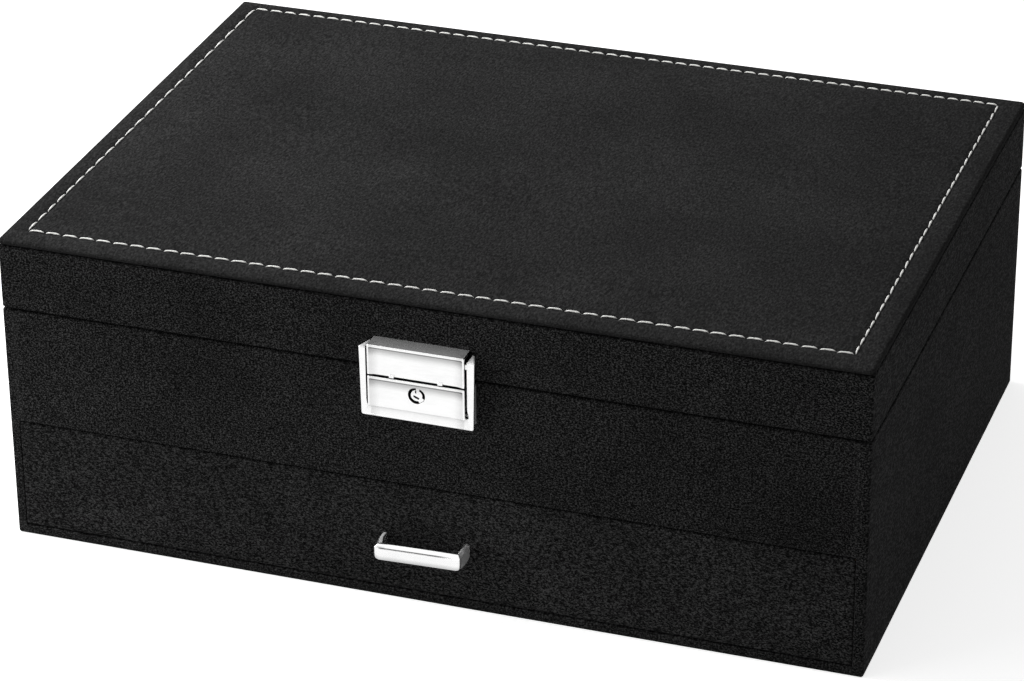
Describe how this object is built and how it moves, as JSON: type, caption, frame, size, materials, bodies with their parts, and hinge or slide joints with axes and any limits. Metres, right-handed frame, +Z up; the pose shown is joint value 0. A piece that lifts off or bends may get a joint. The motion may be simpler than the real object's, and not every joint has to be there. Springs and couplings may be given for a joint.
{
  "type": "ring box with drawer",
  "caption": "Velvet-covered ring box with a hinged padded lid over a divided ring tray, a press lock with key barrel on the seam, and a sliding drawer with a bar pull.",
  "frame": {"origin": "centre of the case's underside", "axes": "+X to the right of someone facing the lock, the front with the lock and the drawer faces -Y, +Z up"},
  "size_m": [0.28, 0.2164, 0.1062],
  "materials": {
    "outer_velvet": "short black velvet",
    "lining_velvet": "soft black velvet",
    "base_felt": "thin pressed felt",
    "foam": "thin polyester padding",
    "fibreboard": "raw fibreboard",
    "bright_metal": "satin nickel plate on cast zinc",
    "hinge_steel": "nickel-plated sheet steel",
    "steel": "zinc-plated steel"
  },
  "bodies": {
    "case": {"base_sheet": "base_felt", "base_board": "fibreboard", "case_left_board": "fibreboard", "case_right_board": "fibreboard", "case_back_board": "fibreboard", "case_front_board": "fibreboard", "shelf_board": "fibreboard", "case_wrap": "outer_velvet", "front_rim_strip": "lining_velvet", "lining_left_wall": "lining_velvet", "lining_right_wall": "lining_velvet", "lining_front_wall": "lining_velvet", "lining_back_wall": "lining_velvet", "lining_floor": "lining_velvet", "tray_divider": "lining_velvet", "tray_cross_dividers": "lining_velvet", "tray_ring_rolls": "lining_velvet", "lock_frame": "bright_metal", "lock_back_plate": "steel", "lock_screws": "steel", "catch_spring": "steel", "button_pin": "steel", "hinge_case_leaf_left": "hinge_steel", "hinge_case_leaf_right": "hinge_steel", "hinge_pin_left": "hinge_steel", "hinge_pin_right": "hinge_steel", "hinge_case_screws": "hinge_steel"},
    "lid": {"lid_left_board": "fibreboard", "lid_right_board": "fibreboard", "lid_front_board": "fibreboard", "lid_back_board": "fibreboard", "lid_deck_board": "fibreboard", "lid_wrap": "outer_velvet", "lid_lining": "lining_velvet", "lid_top_board": "fibreboard", "lid_top_foam": "foam", "lid_top_cover": "outer_velvet", "hasp": "bright_metal", "hasp_screws": "steel", "hinge_lid_leaf_left": "hinge_steel", "hinge_lid_leaf_right": "hinge_steel", "hinge_lid_screws": "hinge_steel"},
    "button": {"lock_button": "bright_metal"},
    "key_cylinder": {"key_barrel": "bright_metal", "lock_cam": "steel", "cam_screw": "steel"},
    "drawer": {"drawer_front_board": "fibreboard", "drawer_front_cover": "outer_velvet", "drawer_left_board": "lining_velvet", "drawer_right_board": "lining_velvet", "drawer_back_board": "lining_velvet", "drawer_bottom_board": "fibreboard", "drawer_lining_floor": "lining_velvet", "drawer_long_divider": "lining_velvet", "drawer_cross_dividers": "lining_velvet", "drawer_ring_rolls": "lining_velvet", "handle": "bright_metal", "handle_washers": "steel"}
  },
  "joints": [
    {"name": "lid_hinge", "type": "hinge", "parent": "case", "child": "lid", "pos_m": [0, 0.1019, 0.081], "axis": [-1, 0, 0], "range_deg": [0, 95]},
    {"name": "drawer_slide", "type": "slide", "parent": "case", "child": "drawer", "axis": [0, -1, 0], "range_m": [0, 0.15]},
    {"name": "button_press", "type": "hinge", "parent": "case", "child": "button", "pos_m": [0, -0.1035, 0.0712], "axis": [-1, 0, 0], "range_deg": [0, 6], "stiffness_Nm_per_rad": 0.3, "springref_deg": -2.86, "deforming": ["catch_spring"]},
    {"name": "key_turn", "type": "hinge", "parent": "button", "child": "key_cylinder", "pos_m": [0, -0.106, 0.076], "axis": [0, 1, 0], "range_deg": [0, 90]}
  ]
}
